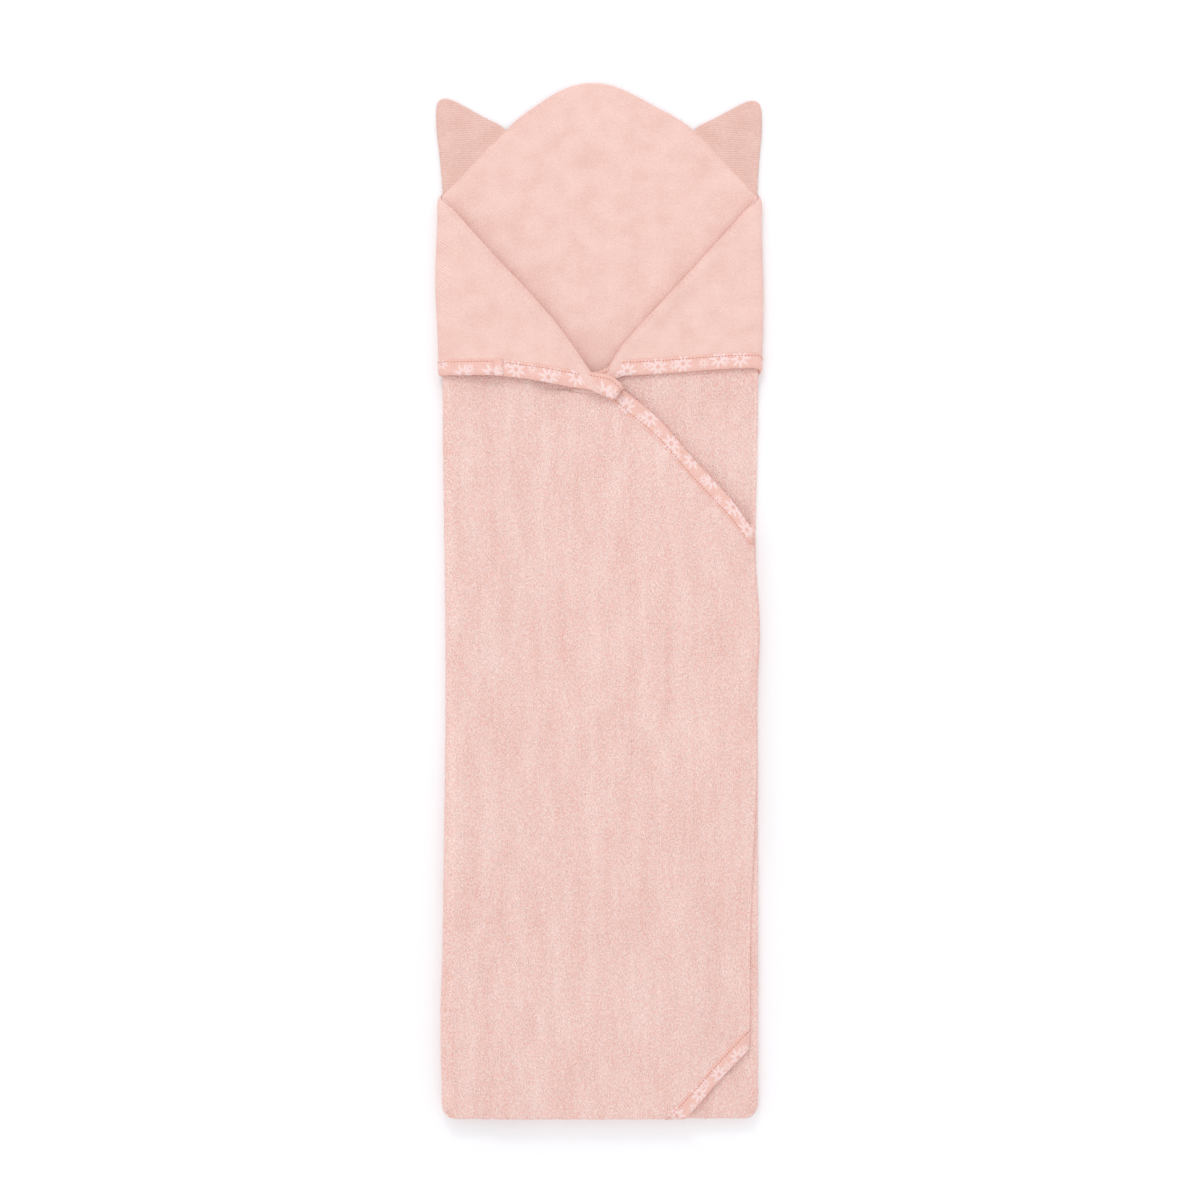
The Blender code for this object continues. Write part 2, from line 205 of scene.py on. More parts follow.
def layer_heights(x, y):
    """Middle of each layer of cloth at x, y, once everything under it has taken its room."""
    hood = on(HEM_Y - y)
    past_corner = (y + np.abs(x) - TURNED_APEX_Y) * 0.71
    corner = on(past_corner)
    past_under = under_edge(-x, y, TUCK_X[1])
    right_under = on(past_under)
    past_flap = flap_edge(-x, y, TUCK_X[1])
    right_flap = on(past_flap)
    left_under = on(under_edge(x, y, TUCK_X[-1]), SLACK_CLIMB)
    level = {"hood": 0 * x, "centre": hood, "corner": hood + 1}
    level["right_under"] = hood + 1 + corner
    level["right_flap"] = level["right_under"] + right_under
    level["right_hood"] = level["right_flap"] + 1
    hood_right = right_flap * hood
    below = hood + 1 + on(past_corner, SLACK_CLIMB) + on(past_under, SLACK_CLIMB) + right_flap + hood_right
    level["left_under"] = np.maximum(below, 3)
    level["left_flap"] = level["left_under"] + left_under
    level["left_hood"] = level["left_flap"] + 1
    for start, end, width, rise in CREASES:
        along = np.array(end) - start
        t = np.clip(((x - start[0]) * along[0] + (y - start[1]) * along[1]) / (along @ along), 0, 1)
        off = np.hypot(x - start[0] - t * along[0], y - start[1] - t * along[1])
        swell = hump(off / width) * np.sin(math.pi * (0.15 + 0.85 * t))
        level["left_flap"] = level["left_flap"] + rise * swell / PITCH
    ripple = 0.0011 * unevenness(x, y, 0.034, 0.120, 3) + 0.0009 * unevenness(x, y, 0.075, 0.060, 5)
    return {k: v * PITCH + LOWEST + ripple * v / (v + 0.8) for k, v in level.items()}


def bend(run, reach, rise):
    """Way round a fold, for run from 0 to 1: how far out, and what share of the rise."""
    radius = np.maximum(rise / 2, 1e-5)
    straight = np.maximum(reach - radius, 0)
    total = 2 * straight + math.pi * radius
    way = np.clip(run, 0, 1) * total
    turn = np.clip((way - straight) / radius, 0, math.pi)
    round_part = straight + (reach - straight) * np.sin(turn)
    back = way > straight + math.pi * radius
    out = np.where(way < straight, way, np.where(back, total - way, round_part))
    return out, (1 - np.cos(turn)) / 2


def edge_wave(side, y):
    """How far a folded side stands out from its straight line."""
    left = 0.0025 * hump((y - 0.235) / 0.075) - 0.0026 * hump((y + 0.06) / 0.28)
    left = left + 0.0012 * hump((y + 0.31) / 0.07)
    right = 0.0016 * hump((y - 0.22) / 0.07) - 0.0016 * hump((y - 0.05) / 0.09)
    right = right + 0.0018 * hump((y + 0.02) / 0.05)
    return np.where(side < 0, left, right)


def folded(u, v, hood):
    """Middle of the cloth after folding, for places u, v on the flat cut. hood is the hood's inner panel."""
    side = np.where(u < 0, -1.0, 1.0)
    w = np.abs(u)
    tuck = np.where(u < 0, TUCK_X[-1], TUCK_X[1])
    out, turned = bend((BOTTOM_Y + TIGHT_RUN - v) / (2 * TIGHT_RUN), TIGHT_REACH, np.full_like(u, PITCH))
    y = np.where(v > BOTTOM_Y, np.maximum(v, BOTTOM_Y + TIGHT_RUN), 2 * BOTTOM_Y - v)
    near = np.abs(v - BOTTOM_Y) < TIGHT_RUN
    y_level = np.maximum(y, BOTTOM_Y + TIGHT_RUN)
    y = np.where(near, BOTTOM_Y + TIGHT_RUN - out, y)
    over = w - FOLDED_WIDTH  # place across the flap, with its fold at the negative end
    out, tucked = bend((over - tuck + TIGHT_RUN) / (2 * TIGHT_RUN), TIGHT_REACH, np.full_like(u, PITCH))
    folded_over = np.where(over > tuck + TIGHT_RUN, 2 * tuck - over, np.minimum(over, tuck - TIGHT_RUN))
    flap = np.where(np.abs(over - tuck) < TIGHT_RUN, tuck - TIGHT_RUN + out, folded_over)
    on_flap = w > HALF_WIDTH
    lying = np.where(on_flap, -np.maximum(-PANEL, folded_over), np.minimum(w, PANEL))
    z = layer_heights(lying * side, y_level)
    if hood:
        low = z["hood"]
        high = np.where(u < 0, z["left_hood"], z["right_hood"])
    else:
        low = z["centre"] * (1 - turned) + z["corner"] * turned
        under = 1 - (1 - turned) * (1 - tucked)
        left = z["left_flap"] * (1 - under) + z["left_under"] * under
        right = z["right_flap"] * (1 - under) + z["right_under"] * under
        high = np.where(u < 0, left, right)
    reach = HALF_WIDTH - 0.0012 - PANEL + (PITCH if hood else -PITCH * turned)
    out, over_share = bend((w - PANEL) / (FOLDED_WIDTH - 2 * PANEL), reach, high - low)
    x = np.where(w <= PANEL, w, np.where(w < FOLDED_WIDTH - PANEL, PANEL + out, -flap)) * side
    height = low + (high - low) * over_share
    # The free edges of the left hood and the right hood stand up a little from what they lie on.
    mouth = hump((y - HEM_Y) / 0.024) * over_share
    scallops = 0.0022 + 0.0044 * hump((x + 0.081) / 0.026) + 0.0036 * hump((x + 0.040) / 0.018)
    if hood:
        height = height + mouth * np.where(u < 0, scallops, 0.0016)
        height = height - 0.0010 * ease((w - HALF_MOUTH + 0.006) / 0.006)
    # The hood's mouth isn't straight, and the towel sewn along it follows. Below the mouth the left flap's
    # edge hangs in a curve of its own.
    hanging = np.where(u < 0, -0.0118 * ease((x + 0.090) / 0.100) ** 1.2, 0.0055 * ease((x - 0.012) / 0.10))
    hanging = hanging - np.where(u < 0, 0, 0.0100 * (1 - ease((x + 0.003) / 0.022)))
    hanging = hanging * hump((y - HEM_Y) / 0.060)
    loose = 0.0050 * hump((x - 0.042) / 0.036) - 0.008 * hump((x - 0.118) / 0.026)
    loose = np.where(u < 0, loose * hump((y - HEM_Y + 0.95 * np.maximum(x, 0)) / 0.050), 0)
    if hood:
        hanging = hanging - np.where(u < 0, 0.0038 * ease((x + 0.010) / 0.016) * hump((y - HEM_Y) / 0.014), 0)
    sewn_along = 1 if hood else ease((y - HEM_Y + 0.014) / 0.014)
    sag = hanging * sewn_along + loose * (1 - sewn_along)
    y = y + sag * over_share * (1 - tucked)
    # The left flap's tucked edge lies a little short of the right fold, toward the bottom.
    short = np.where(u < 0, 0.0046 * ease((x - 0.055) / 0.055) * ease((-0.12 - y) / 0.14) * over_share, 0)
    x = x - short
    # The folded sides aren't quite straight, and what lies near them follows.
    crossed = np.where(x * side < 0, -1, 1)
    wave = edge_wave(side * np.where(on_flap, crossed, 1), y)
    x = x + side * crossed * wave * ease((np.abs(x) - 0.03) / 0.08)
    # The hood's top is drawn a little to a point, and leans to the left.
    y = y - 0.0056 * hump((np.abs(x) - 0.045) / 0.042) * ease((y - 0.300) / 0.05)
    x = x - 0.0052 * ease((y - 0.342) / 0.034)
    # The bottom corners of the strip are rounded.
    dx = np.maximum(np.abs(x) - HALF_WIDTH + FOOT_CORNER, 1e-9)
    dy = np.maximum(BOTTOM_Y + FOOT_CORNER - y, 1e-9)
    shrink = np.maximum(dx, dy) / np.hypot(dx, dy)
    in_corner = (dx > 1e-8) & (dy > 1e-8)
    x = np.where(in_corner, np.sign(x) * (HALF_WIDTH - FOOT_CORNER + dx * shrink), x)
    y = np.where(in_corner, BOTTOM_Y + FOOT_CORNER - dy * shrink, y)
    return np.stack([x, y, height], axis=-1)


def placed(u, v, offset, hood=False):
    """Points at an offset from the middle of the cloth, toward its knitted side."""
    e = 0.0002
    along = folded(u + e, v, hood) - folded(u - e, v, hood)
    up = folded(u, v + e, hood) - folded(u, v - e, hood)
    normal = np.cross(along, up)
    normal /= np.maximum(np.linalg.norm(normal, axis=-1, keepdims=True), 1e-12)
    return folded(u, v, hood) + normal * np.asarray(offset)[..., None]


def unit(x, y):
    """A direction of length 1."""
    return np.array([x, y]) / math.hypot(x, y)


def round_corner(corner, before, after, radius, steps):
    """Points and outward directions round a corner between two edges, given by their outward sides."""
    centre = corner - radius * (before + after) / (1 + before @ after)
    start, end = math.atan2(before[1], before[0]), math.atan2(after[1], after[0])
    end += 2 * math.pi if end < start - 1e-9 else 0
    turns = np.linspace(start, end, steps)
    outward = np.stack([np.cos(turns), np.sin(turns)], axis=-1)
    return centre + radius * outward, outward


UPPER_LEFT = unit(-BODY_SLOPE, 1)
LOWER_LEFT = unit(-1, -1)
LOWER_RIGHT = unit(1, -1)
UPPER_RIGHT = unit(BODY_SLOPE, 1)
SEAM_LEFT = unit(-HOOD_SLOPE, 1)
SEAM_RIGHT = unit(HOOD_SLOPE, 1)
left_corner = round_corner(np.array([-HALF_DIAGONAL, SIDE_CORNER_Y]), UPPER_LEFT, LOWER_LEFT,
                           CORNER_RADIUS, 15)
bottom_corner = round_corner(np.array([0, BOTTOM_CORNER_Y]), LOWER_LEFT, LOWER_RIGHT, CORNER_RADIUS, 15)
right_corner = round_corner(np.array([HALF_DIAGONAL, SIDE_CORNER_Y]), LOWER_RIGHT, UPPER_RIGHT,
                            CORNER_RADIUS, 15)
hood_top = round_corner(np.array([0, APEX_Y]), SEAM_RIGHT, SEAM_LEFT, HOOD_TOP_RADIUS, 15)


def seam_distance(u, v):
    """Distance inside the hood's two sewn edges."""
    straight = (APEX_Y - HOOD_SLOPE * np.abs(u) - v) / math.hypot(1, HOOD_SLOPE)
    centre_y = TOP_Y - HOOD_TOP_RADIUS
    beside = np.abs(u) > (v - centre_y) * HOOD_SLOPE
    return np.where(beside | (v < centre_y), straight, HOOD_TOP_RADIUS - np.hypot(u, v - centre_y))


def bound_distance(u, v):
    """Distance inside the towel's bound edges, not counting the rounding of the corners."""
    upper = (HEM_Y + BODY_SLOPE * (HALF_MOUTH - np.abs(u)) - v) / math.hypot(1, BODY_SLOPE)
    lower = (v - BOTTOM_CORNER_Y - np.abs(u)) / math.sqrt(2)
    return np.where(v > HEM_Y, lower, np.minimum(upper, lower))


def spaced(start, *stops):
    """Values from start through each stop, with each stop's own step."""
    values = [start]
    for end, step in stops:
        count = max(1, round(abs(end - values[-1]) / step))
        values += list(np.linspace(values[-1], end, count + 1)[1:])
    return np.array(values)


def cut_cloth(columns, rows, cuts):
    """A flat grid of cloth, trimmed along straight cuts: each a point, its outward side, its range of v."""
    u, v = np.meshgrid(columns, rows, indexing="ij")
    height = len(rows)
    quads = np.array([(i * height + j, (i + 1) * height + j, (i + 1) * height + j + 1, i * height + j + 1)
                      for i in range(len(columns) - 1) for j in range(height - 1)])
    points = np.stack([u.ravel(), v.ravel()], axis=-1)
    middle = points[quads].mean(axis=1)
    keep = np.ones(len(quads), bool)
    for point, outward, (low, high) in cuts:
        keep &= ((middle - point) @ outward < 0.004) | (middle[:, 1] < low) | (middle[:, 1] > high)
    quads = quads[keep]
    used = np.unique(quads)
    renumber = np.zeros(len(points), int)
    renumber[used] = np.arange(len(used))
    mesh = bpy.data.meshes.new("flat")
    mesh.from_pydata([(x, y, 0) for x, y in points[used]], [], renumber[quads].tolist())
    bm = bmesh.new()
    bm.from_mesh(mesh)
    bpy.data.meshes.remove(mesh)
    for point, outward, (low, high) in cuts:
        faces = []
        for face in bm.faces:
            x, y, _ = face.calc_center_median()
            if low < y < high and abs((x - point[0]) * outward[0] + (y - point[1]) * outward[1]) < 0.005:
                faces.append(face)
        geometry = list({item for f in faces for item in (*f.verts, *f.edges)}) + faces
        if geometry:
            bmesh.ops.bisect_plane(bm, geom=geometry, dist=1e-5, plane_co=(*point, 0), plane_no=(*outward, 0))
        gone = []
        for face in bm.faces:
            x, y, _ = face.calc_center_median()
            if low < y < high and (x - point[0]) * outward[0] + (y - point[1]) * outward[1] > 1e-7:
                gone.append(face)
        bmesh.ops.delete(bm, geom=gone, context="FACES")
    bmesh.ops.remove_doubles(bm, verts=bm.verts, dist=2e-5)
    bm.verts.index_update()
    flat = np.array([v.co[:2] for v in bm.verts])
    faces = [[v.index for v in f.verts] for f in bm.faces if f.calc_area() > 1e-12]
    area = sum(f.calc_area() for f in bm.faces)
    bm.free()
    return flat, faces, area


def make_piece(name, points, faces, materials, face_materials, uv, sharp=(), uv_name="cut"):
    """An object from points and faces, with its materials, its flat places as UV, and its sharp edges."""
    mesh = bpy.data.meshes.new(name)
    mesh.from_pydata(points.tolist(), [], faces)
    for material in materials:
        mesh.materials.append(material)
    mesh.polygons.foreach_set("material_index", np.asarray(face_materials, np.int32))
    mesh.polygons.foreach_set("use_smooth", np.ones(len(mesh.polygons), bool))
    corners = np.empty(len(mesh.loops), np.int32)
    mesh.loops.foreach_get("vertex_index", corners)
    layer = mesh.uv_layers.new(name=uv_name)
    layer.data.foreach_set("uv", np.asarray(uv, np.float32)[corners].ravel())
    if len(sharp):
        pairs = np.empty(2 * len(mesh.edges), np.int32)
        mesh.edges.foreach_get("vertices", pairs)
        pairs = np.sort(pairs.reshape(-1, 2), axis=1)
        keys = pairs[:, 0].astype(np.int64) * len(points) + pairs[:, 1]
        wanted = np.sort(np.asarray(sharp), axis=1)
        flags = np.isin(keys, wanted[:, 0].astype(np.int64) * len(points) + wanted[:, 1])
        mesh.attributes.new("sharp_edge", "BOOLEAN", "EDGE").data.foreach_set("value", flags)
    mesh.update()
    piece = bpy.data.objects.new(name, mesh)
    bpy.context.scene.collection.objects.link(piece)
    return piece


def cloth_piece(name, flat, faces, materials, hood):
    """Cloth with its thickness, knitted side first, folded into place and closed round its rim."""
    u, v = flat[:, 0], flat[:, 1]
    seam = seam_distance(u, v) if hood else np.where(v > HEM_Y, seam_distance(u, v), 1)
    bound = v - HEM_Y if hood else bound_distance(u, v)
    half = PRESSED_HALF + (HALF_CLOTH - PRESSED_HALF) * ease((bound - 0.008) / 0.007)
    nose = np.sqrt(1 - (1 - np.clip(seam / 0.0034, 0, 1)) ** 2)
    # The seam's hidden edges make a low ridge where the hood is folded over.
    ridge = 0.0005 * ease(seam / 0.003) * (1 - ease((seam - 0.0075) / 0.003))
    ridge = ridge + (0.0010 * ease(seam / 0.003) * (1 - ease((seam - 0.004) / 0.008)) if hood else 0)
    outer = -half + 2 * half * nose + ridge * ease((np.abs(u) - PANEL) / 0.02)
    grain = np.random.default_rng(11).normal(0, 0.00010, len(u)) * (bound > 0.010) * (seam > 0.004)
    inner = -half - (0.00005 if hood else 0.00022) * ease(bound / 0.01) + grain
    front = placed(u, v, -inner if hood else outer, hood)
    back = placed(u, v, -outer if hood else inner, hood)
    return closed(name, front, back, faces, materials, flat)


def closed(name, front, back, faces, materials, uv):
    """A piece from its two faces, closed round the rim."""
    count = len(front)
    sides = {}
    for face in faces:
        for a, b in zip(face, face[1:] + face[:1]):
            if sides.pop((b, a), None) is None:
                sides[(a, b)] = True
    rim = [(a, a + count, b + count, b) for a, b in sides]
    every = faces + [[count + i for i in reversed(f)] for f in faces] + rim
    kinds = [0] * len(faces) + [1] * len(faces) + [0 if uv[a][1] > HEM_Y else 1 for a, b in sides]
    sharp = [pair for a, b in sides for pair in ((a, b), (a + count, b + count))]
    shape = np.concatenate([front, back])
    return make_piece(name, shape, every, materials, kinds, np.concatenate([uv, uv]), sharp)


# The towel's knitted face: cotton jersey, smooth and brushed. Fine ribs of stitches run cornerwise
# and give the eye a faint close hatching. Stitch rows 0.9 mm apart are drawn at 1.5 mm, so that they show.
WAVE_LENGTH = 0.314  # a wave texture of scale 1 repeats over this length


def jersey(name, light, deep, row):
    """Jersey of two near shades, with its stitch rows at a given spacing."""
    material = bpy.data.materials.new(name)
    material.use_nodes = True
    tree = material.node_tree
    shader = tree.nodes["Principled BSDF"]
    cut = add(tree, "ShaderNodeUVMap", uv_map="cut")
    turned = add(tree, "ShaderNodeMapping", {"Vector": cut.outputs["UV"], "Rotation": (0, 0, math.pi / 4)})
    rows = add(tree, "ShaderNodeTexWave", {"Vector": turned.outputs["Vector"], "Scale": WAVE_LENGTH / row,
               "Distortion": 2.4, "Detail": 3.0, "Detail Scale": 0.8}, wave_type="BANDS", bands_direction="X")
    patches = add(tree, "ShaderNodeTexNoise", {"Vector": cut.outputs["UV"], "Scale": 45.0, "Detail": 2.0})
    fibres = add(tree, "ShaderNodeTexNoise", {"Vector": cut.outputs["UV"], "Scale": 0.8 / row, "Detail": 4.0,
                 "Roughness": 0.7})
    seen = add(tree, "ShaderNodeMath", {0: rows.outputs["Fac"], 1: patches.outputs["Fac"]},
               operation="MULTIPLY")
    mixed = add(tree, "ShaderNodeMath", {0: fibres.outputs["Fac"], 1: 1.3, 2: seen.outputs[0]},
                operation="MULTIPLY_ADD")
    drift = add(tree, "ShaderNodeTexNoise", {"Vector": cut.outputs["UV"], "Scale": 60.0, "Detail": 5.0})
    depth = add(tree, "ShaderNodeMath", {0: drift.outputs["Fac"], 1: 1.1, 2: mixed.outputs[0]},
                operation="MULTIPLY_ADD")
    share = add(tree, "ShaderNodeMapRange", {"Value": depth.outputs[0], "From Min": 1.0, "From Max": 1.9})
    colour = add(tree, "ShaderNodeMix", {0: share.outputs["Result"], 6: linear(deep), 7: linear(light)},
                 data_type="RGBA")
    bump = add(tree, "ShaderNodeBump", {"Height": mixed.outputs[0], "Strength": 0.5, "Distance": 0.0005})
    tree.links.new(colour.outputs[2], shader.inputs["Base Color"])
    tree.links.new(bump.outputs["Normal"], shader.inputs["Normal"])
    shader.inputs["Roughness"].default_value = 0.88
    shader.inputs["Specular IOR Level"].default_value = 0.2
    shader.inputs["Sheen Weight"].default_value = 0.05
    return material


towel_jersey = jersey("smooth_cotton_jersey", "#F3D0C6", "#E5BAAF", 0.0015)

# The towel's looped face: cotton terry with uncut loops, lying over in soft streaks. Each loop's colour is
# painted lighter on its crown and darker at its foot: painted highlight and painted shade between the loops.
# Loops about 1 mm apart are drawn at 1.2 by 1.9 mm, so that they show.
LOOP_ACROSS, LOOP_ALONG = 0.0012, 0.0019
STREAK_ACROSS, STREAK_ALONG = 0.013, 0.065
terry = bpy.data.materials.new("looped_cotton_terry")
terry.use_nodes = True
terry_tree = terry.node_tree
terry_shader = terry_tree.nodes["Principled BSDF"]
terry_cut = add(terry_tree, "ShaderNodeUVMap", uv_map="cut")
terry_turned = add(terry_tree, "ShaderNodeMapping", {"Vector": terry_cut.outputs["UV"],
                   "Rotation": (0, 0, math.pi / 4), "Scale": (1 / LOOP_ACROSS, 1 / LOOP_ALONG, 1)})
loops = add(terry_tree, "ShaderNodeTexVoronoi", {"Vector": terry_turned.outputs["Vector"], "Scale": 1.0,
            "Randomness": 0.75}, feature="F1")
tangle = add(terry_tree, "ShaderNodeTexNoise", {"Vector": terry_turned.outputs["Vector"], "Scale": 1.3,
             "Detail": 3.0})
crown = add(terry_tree, "ShaderNodeMapRange", {"Value": loops.outputs["Distance"], "From Min": 0.1,
            "From Max": 0.75, "To Min": 1.0, "To Max": 0.0})
loop_height = add(terry_tree, "ShaderNodeMath", {0: crown.outputs["Result"], 1: tangle.outputs["Fac"],
                  2: tangle.outputs["Fac"]}, operation="MULTIPLY_ADD")
streak_place = add(terry_tree, "ShaderNodeMapping", {"Vector": terry_cut.outputs["UV"],
                   "Scale": (1 / STREAK_ACROSS, 1 / STREAK_ALONG, 1)})
streaks = add(terry_tree, "ShaderNodeTexNoise", {"Vector": streak_place.outputs["Vector"], "Scale": 1.0,
              "Detail": 4.0, "Roughness": 0.65})
# The colour follows the loops' height, adding painted shade at each loop's foot and a painted highlight on
# its crown. It is mixed with streaks of random tone.
painted_loop_shade_and_streaks = add(terry_tree, "ShaderNodeMath", {0: streaks.outputs["Fac"], 1: 0.65,
                  2: loop_height.outputs[0]}, operation="MULTIPLY_ADD")
painted_loop_shade_and_streak_share = add(terry_tree, "ShaderNodeMapRange", {"Value": painted_loop_shade_and_streaks.outputs[0], "From Min": 0.42,
                  "From Max": 1.34})
# The deep colour is painted shade at the loop feet; the light colour is a painted highlight on the crowns.
terry_colour_with_painted_loop_shade = add(terry_tree, "ShaderNodeMix", {0: painted_loop_shade_and_streak_share.outputs["Result"], 6: linear("#E4A597"),
                   7: linear("#FFE4DC")}, data_type="RGBA")
terry_bump = add(terry_tree, "ShaderNodeBump", {"Height": loop_height.outputs[0], "Strength": 0.9,
                 "Distance": 0.0010})
terry_tree.links.new(terry_colour_with_painted_loop_shade.outputs[2], terry_shader.inputs["Base Color"])
terry_tree.links.new(terry_bump.outputs["Normal"], terry_shader.inputs["Normal"])
terry_shader.inputs["Roughness"].default_value = 0.95
terry_shader.inputs["Specular IOR Level"].default_value = 0.15

# The three strips of the one cut, parted only where the cloth starts to bend round its side folds. The centre
# and the right strip lie still; the left one opens about its side fold.
GRAIN = 0.0027  # side of a square of the cloth's mesh
FOLD_GRAIN = 0.0007  # the same, across a tight fold
body_cuts = []
for points, outwards in (left_corner, bottom_corner, right_corner):
    body_cuts += [(p, o, (BOTTOM_CORNER_Y - 1, HEM_Y)) for p, o in zip(points, outwards)]
hood_cuts = [(p, o, (HEM_Y, APEX_Y + 1)) for p, o in zip(*hood_top)]
bend_step = (FOLDED_WIDTH - 2 * PANEL) / 20
rows = spaced(BOTTOM_CORNER_Y, (BOTTOM_Y - TIGHT_RUN, GRAIN), (BOTTOM_Y + TIGHT_RUN, FOLD_GRAIN),
              (HEM_Y, GRAIN), (TOP_Y, GRAIN))
centre_columns = spaced(-PANEL, (PANEL, GRAIN))


def side_columns(side):
    """Places across one side of the towel, from its side fold to its corner."""
    tuck = FOLDED_WIDTH + TUCK_X[side]
    values = spaced(PANEL, (FOLDED_WIDTH - PANEL, bend_step), (tuck - TIGHT_RUN, GRAIN),
                    (tuck + TIGHT_RUN, FOLD_GRAIN), (HALF_DIAGONAL, GRAIN))
    return values if side > 0 else -values[::-1]


cloths = {}
towel_nodes = ("flap", "side_fold", "inner_fold", "tuck", "tuck_fold", "turned_corner", "bottom_fold")
for name, columns, stands_for in (
    ("towel_centre_cloth", centre_columns, ["towel_centre", "bottom_corner", "bottom_edge_fold"]),
    ("towel_right_cloth", side_columns(1), ["right_" + n for n in towel_nodes]),
    ("towel_left_cloth", side_columns(-1), ["left_" + n for n in towel_nodes]),
):
    flat, faces, area = cut_cloth(columns, rows, body_cuts + hood_cuts)
    piece = cloth_piece(name, flat, faces, [towel_jersey, terry], False)
    cloths[name] = piece, np.ptp(flat, axis=0), area
    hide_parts(*stands_for)

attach(cloths["towel_centre_cloth"][0], "folded_towel")
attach(cloths["towel_right_cloth"][0], "folded_towel")
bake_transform(cloths["towel_left_cloth"][0])

# The hood's inner panel: a triangle of the same jersey, sewn to the towel's top corner along both sides
# and left open along its bound mouth. It is folded over with the towel, outermost, so its knitted side shows.
# Its mesh is finer where the cloth comes out of the tape and thickens.
hood_rows = spaced(HEM_Y, (HEM_Y + 0.0102, GRAIN), (HEM_Y + 0.0150, 0.0008), (TOP_Y, GRAIN))
hood_sides = spaced(PANEL, (FOLDED_WIDTH - PANEL, bend_step), (HALF_MOUTH, GRAIN))
hood_jersey_back = jersey("jersey_wrong_side", "#E9C2B7", "#DAACA0", 0.0018)


def hood_piece(name, columns, stands_for):
    """One of the hood's three strips, parted at the same side folds as the towel."""
    flat, faces, area = cut_cloth(columns, hood_rows, hood_cuts)
    piece = cloth_piece(name, flat, faces, [hood_jersey_back, towel_jersey], True)
    cloths[name] = piece, np.ptp(flat, axis=0), area
    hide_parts(*stands_for)
    return piece


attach(hood_piece("hood_centre_cloth", centre_columns, ["hood_underside"]), "folded_towel")
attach(hood_piece("hood_right_cloth", hood_sides, ["hood_right", "hood_right_fold"]), "folded_towel")
left_hood = hood_piece("hood_left_cloth", -hood_sides[::-1], ["hood_left", "hood_left_fold"])
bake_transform(left_hood)

# The ears: each a pair of jersey pieces sewn face to face, turned, and caught by their base in the hood's
# seam. They lie out flat beside the hood, a little puffed, and can fold in over it along the seam.
EAR_MIDDLE_Z = 0.00255
EAR_START = 0.070  # how far out from the middle each ear begins, on the hood's seam
EAR_BASE = 0.067
EAR_HEIGHT = 0.052
EAR_IN_SEAM = 0.004
AROUND, INWARD = 97, 34  # points along the ear's outline, and from its base to its outline
# The outline, as places along the seam and out from it.
EAR_OUTLINE = [(0, -EAR_IN_SEAM), (0, 0), (0.0006, 0.006), (0.0038, 0.017), (0.0072, 0.031), (0.0105, 0.043),
               (0.0150, 0.0492), (0.0215, 0.0485), (0.034, 0.0370), (0.046, 0.0232), (0.058, 0.0100),
               (EAR_BASE, 0), (EAR_BASE, -EAR_IN_SEAM)]
ear_jersey = jersey("brushed_ear_jersey", "#EAC6BB", "#DAADA1", 0.0017)


def smooth_curve(knots, count):
    """Points on a smooth curve through the knots."""
    knots = np.array([2 * np.array(knots[0]) - knots[1], *knots, 2 * np.array(knots[-1]) - knots[-2]])
    t = np.linspace(0, len(knots) - 3.000001, count)
    i, f = t.astype(int), (t - t.astype(int))[:, None]
    a, b, c, d = knots[i], knots[i + 1], knots[i + 2], knots[i + 3]
    return 0.5 * (2 * b + (c - a) * f + (2 * a - 5 * b + 4 * c - d) * f**2 + (3 * b - a - 3 * c + d) * f**3)


for label, side, reach in (("left", -1, 1.0), ("right", 1, 0.95)):
    start = np.array([side * EAR_START, APEX_Y - HOOD_SLOPE * EAR_START])
    along = unit(side, -HOOD_SLOPE)
    outward = unit(side * HOOD_SLOPE, 1)
    edge = smooth_curve(EAR_OUTLINE, AROUND) * (1, reach)
    base = np.stack([np.linspace(0, EAR_BASE, AROUND), np.full(AROUND, -EAR_IN_SEAM)], axis=-1)
    share = np.linspace(0, 1, INWARD)[None, :, None]
    pattern = (base[:, None] * (1 - share) + edge[:, None] * share).reshape(-1, 2)
    from_edge = np.linalg.norm(pattern[:, None] - edge[None, 1:-1], axis=-1).min(axis=1)
    quads = [[i * INWARD + j, (i + 1) * INWARD + j, (i + 1) * INWARD + j + 1, i * INWARD + j + 1]
             for i in range(AROUND - 1) for j in range(INWARD - 1)]
    if side < 0:
        quads = [q[::-1] for q in quads]
    across = pattern[:, :1] * along + pattern[:, 1:] * outward + start
    sewn = 1 - ease((pattern[:, 1] - 0.001) / 0.010)
    rounding = np.sqrt(1 - (1 - np.clip(from_edge / 0.0032, 0, 1)) ** 2)
    puff = 0.0010 * ease(from_edge / 0.016) * (1 - sewn)
    crease = 0.0007 * unevenness(across[:, 0], across[:, 1], 0.014, 0.022, 21) * ease(from_edge / 0.006)
    seam_dip = -0.0003 * hump((from_edge - 0.0045) / 0.0012)
    top = (0.0017 * rounding + puff + crease + seam_dip) * (1 - 0.35 * sewn)
    low = (0.0016 * rounding + 0.4 * puff) * (1 - 0.3 * sewn)
    between = np.full_like(top, 0.0001)
    for face, upper, lower in (("front", top + between, between), ("back", -between, -low - between)):
        front = np.column_stack([across, EAR_MIDDLE_Z + upper])
        back = np.column_stack([across, EAR_MIDDLE_Z + lower])
        name = label + "_ear_" + face + "_cloth"
        ear = closed(name, front, back, quads, [ear_jersey, ear_jersey], pattern)
        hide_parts(label + "_ear_" + face)
        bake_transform(ear)
        flat_area = 0.5 * EAR_BASE * EAR_HEIGHT * 1.05 + EAR_BASE * EAR_IN_SEAM
        cloths[name] = ear, np.array([EAR_BASE, 0.055]), flat_area

# The binding: a woven cotton tape printed with daisies, folded in half round the raw edges and sewn down
# through all layers with a row of small stitches. One tape runs round the towel, one along the hood's mouth.
TAPE = 0.0115
STITCHED_AT = TAPE - 0.0024
